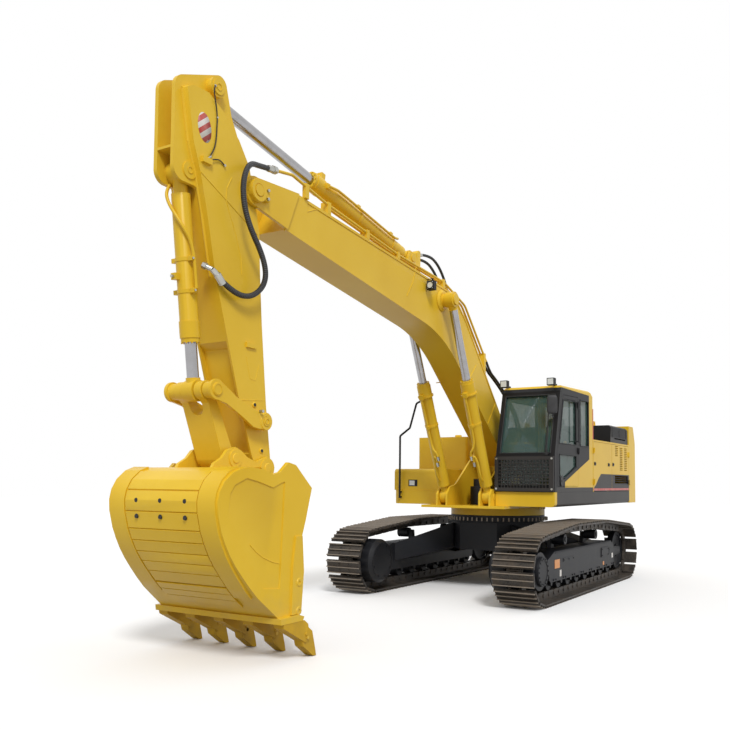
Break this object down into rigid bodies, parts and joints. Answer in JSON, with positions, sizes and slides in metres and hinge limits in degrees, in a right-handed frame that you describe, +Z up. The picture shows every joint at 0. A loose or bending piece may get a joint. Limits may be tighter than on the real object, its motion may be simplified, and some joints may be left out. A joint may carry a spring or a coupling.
{
  "type": "crawler excavator",
  "caption": "Tracked hydraulic excavator with a cab, a knee boom, stick and bucket, service doors and a hood that open.",
  "frame": {"origin": "on the ground under the swing axis", "axes": "+Z up along the swing axis, the front with boom and bucket towards -Y, the cab side towards +X"},
  "size_m": [3.34, 11.4414, 5.6873],
  "materials": {
    "rubber_hose": "rubber hose with a moulded cover",
    "yellow_paint": "satin chrome-yellow enamel",
    "dark_paint": "satin black enamel",
    "charcoal_paint": "satin charcoal enamel",
    "track_steel": "rolled steel, worn on the grousers",
    "chrome": "ground and polished chrome",
    "tinted_glass": "green tinted safety glass",
    "black_plastic": "moulded, fine grain",
    "seat_fabric": "woven seat cloth",
    "tooth_steel": "painted cast steel, worn at the tips"
  },
  "bodies": {
    "undercarriage": {"carbody": "dark_paint", "slew_ring": "dark_paint", "track_frame_left": "dark_paint", "track_frame_right": "dark_paint", "track_left": "track_steel", "track_right": "track_steel", "final_drive_left": "dark_paint", "final_drive_right": "dark_paint", "idler_left": "dark_paint", "idler_right": "dark_paint", "track_rollers_left": "dark_paint", "track_rollers_right": "dark_paint"},
    "upper": {"turntable_frame": "yellow_paint", "deck_left": "charcoal_paint", "deck_right": "yellow_paint", "counterweight": "yellow_paint", "toolbox_right": "yellow_paint", "tanks_right": "yellow_paint", "cab_shell": "yellow_paint", "cab_front_frame": "charcoal_paint", "cab_glass": "tinted_glass", "front_guard": "charcoal_paint", "operator_seat": "seat_fabric", "control_console": "black_plastic", "engine_house": "yellow_paint", "engine_block": "dark_paint", "exhaust_pipe": "black_plastic", "handrails": "black_plastic", "roof_lamps": "black_plastic", "swing_motor": "dark_paint", "rear_hose_1": "rubber_hose", "rear_hose_2": "rubber_hose"},
    "cab_door": {"cab_door": "charcoal_paint", "cab_door_glass": "tinted_glass"},
    "service_door_front_left": {"service_door_front_left": "yellow_paint"},
    "service_door_rear_left": {"service_door_rear_left": "yellow_paint"},
    "service_door_right": {"service_door_right": "yellow_paint"},
    "hood_lid": {"hood_lid": "charcoal_paint"},
    "boom": {"boom": "yellow_paint", "boom_pipes": "yellow_paint", "knee_hose_1": "rubber_hose", "knee_hose_2": "rubber_hose", "stick_hose": "rubber_hose"},
    "boom_barrel_left": {"boom_cylinder_barrel_left": "yellow_paint"},
    "boom_barrel_right": {"boom_cylinder_barrel_right": "yellow_paint"},
    "boom_rod_left": {"boom_cylinder_rod_left": "chrome"},
    "boom_rod_right": {"boom_cylinder_rod_right": "chrome"},
    "arm_barrel": {"arm_cylinder_barrel": "yellow_paint"},
    "arm_rod": {"arm_cylinder_rod": "chrome"},
    "stick": {"stick": "yellow_paint"},
    "bucket_barrel": {"bucket_cylinder_barrel": "yellow_paint"},
    "bucket_rod": {"bucket_cylinder_rod": "chrome"},
    "rocker": {"rocker_links": "yellow_paint"},
    "link": {"bucket_link": "yellow_paint"},
    "bucket": {"bucket": "yellow_paint", "bucket_teeth": "tooth_steel"}
  },
  "joints": [
    {"name": "swing", "type": "hinge", "parent": "undercarriage", "child": "upper", "pos_m": [0, 0, 1.18], "axis": [0, 0, 1], "continuous": true},
    {"name": "boom_lift", "type": "hinge", "parent": "upper", "child": "boom", "pos_m": [0, -0.05, 2.2], "axis": [-1, 0, 0], "range_deg": [-50, 25], "deforming": ["rear_hose_1", "rear_hose_2"]},
    {"name": "boom_cylinder_foot_left", "type": "hinge", "parent": "upper", "child": "boom_barrel_left", "pos_m": [0.37, -1.2, 1.49], "axis": [-1, 0, 0], "range_deg": [-52.83, 26.44]},
    {"name": "boom_cylinder_stroke_left", "type": "slide", "parent": "boom_barrel_left", "child": "boom_rod_left", "axis": [0, -0.415, 0.9098], "range_m": [-1.0909, 0.546]},
    {"name": "boom_cylinder_foot_right", "type": "hinge", "parent": "upper", "child": "boom_barrel_right", "pos_m": [-0.37, -1.2, 1.49], "axis": [-1, 0, 0], "range_deg": [-52.83, 26.44]},
    {"name": "boom_cylinder_stroke_right", "type": "slide", "parent": "boom_barrel_right", "child": "boom_rod_right", "axis": [0, -0.415, 0.9098], "range_m": [-1.0909, 0.546]},
    {"name": "stick_swing", "type": "hinge", "parent": "boom", "child": "stick", "pos_m": [0, -6.65, 4.64], "axis": [-1, 0, 0], "range_deg": [-25, 92], "deforming": ["stick_hose"]},
    {"name": "arm_cylinder_foot", "type": "hinge", "parent": "boom", "child": "arm_barrel", "pos_m": [0, -3.18, 4.82], "axis": [-1, 0, 0], "range_deg": [-1.01, 3.58]},
    {"name": "arm_cylinder_stroke", "type": "slide", "parent": "arm_barrel", "child": "arm_rod", "axis": [0, -0.9854, 0.1704], "range_m": [-1.4103, 0.384]},
    {"name": "bucket_curl", "type": "hinge", "parent": "stick", "child": "bucket", "pos_m": [0, -6.385, 1.835], "axis": [1, 0, 0], "range_deg": [-35, 130]},
    {"name": "rocker_swing", "type": "hinge", "parent": "stick", "child": "rocker", "pos_m": [0, -6.475, 2.305], "axis": [1, 0, 0], "range_deg": [-23.74, 88.03]},
    {"name": "link_swing", "type": "hinge", "parent": "bucket", "child": "link", "pos_m": [0, -6.863, 1.921], "axis": [1, 0, 0], "range_deg": [-98.53, 26.57]},
    {"name": "bucket_cylinder_foot", "type": "hinge", "parent": "stick", "child": "bucket_barrel", "pos_m": [0, -7.45, 4.605], "axis": [-1, 0, 0], "range_deg": [-2.68, 0.76]},
    {"name": "bucket_cylinder_stroke", "type": "slide", "parent": "bucket_barrel", "child": "bucket_rod", "axis": [0, 0.1261, -0.992], "range_m": [-0.2478, 0.9176]},
    {"name": "cab_door_hinge", "type": "hinge", "parent": "upper", "child": "cab_door", "pos_m": [1.462, -0.101, 2.6], "axis": [0, 0, 1], "range_deg": [0, 165]},
    {"name": "service_door_front_left_hinge", "type": "hinge", "parent": "upper", "child": "service_door_front_left", "pos_m": [1.462, 0.733, 2.02], "axis": [0, 0, 1], "range_deg": [-100, 0]},
    {"name": "service_door_rear_left_hinge", "type": "hinge", "parent": "upper", "child": "service_door_rear_left", "pos_m": [1.462, 2.942, 2.02], "axis": [0, 0, -1], "range_deg": [-100, 0]},
    {"name": "service_door_right_hinge", "type": "hinge", "parent": "upper", "child": "service_door_right", "pos_m": [-1.462, 2.942, 2.02], "axis": [0, 0, 1], "range_deg": [-100, 0]},
    {"name": "hood_lid_hinge", "type": "hinge", "parent": "upper", "child": "hood_lid", "pos_m": [-0.7, 2.4, 2.478], "axis": [0, -1, 0], "range_deg": [0, 80]}
  ],
  "couplings": [
    {"joint": "boom_cylinder_foot_left", "follows": "boom_lift", "ratio": 1.045},
    {"joint": "boom_cylinder_stroke_left", "follows": "boom_lift", "m_per_rad": 1.2366},
    {"joint": "boom_cylinder_foot_right", "follows": "boom_lift", "ratio": 1.045},
    {"joint": "boom_cylinder_stroke_right", "follows": "boom_lift", "m_per_rad": 1.2366},
    {"joint": "arm_cylinder_foot", "follows": "stick_swing", "ratio": 0.0379},
    {"joint": "arm_cylinder_stroke", "follows": "stick_swing", "m_per_rad": -0.869},
    {"joint": "rocker_swing", "follows": "bucket_curl", "ratio": 0.67},
    {"joint": "link_swing", "follows": "bucket_curl", "ratio": -0.75},
    {"joint": "bucket_cylinder_foot", "follows": "bucket_curl", "ratio": -0.02},
    {"joint": "bucket_cylinder_stroke", "follows": "bucket_curl", "m_per_rad": 0.4}
  ]
}
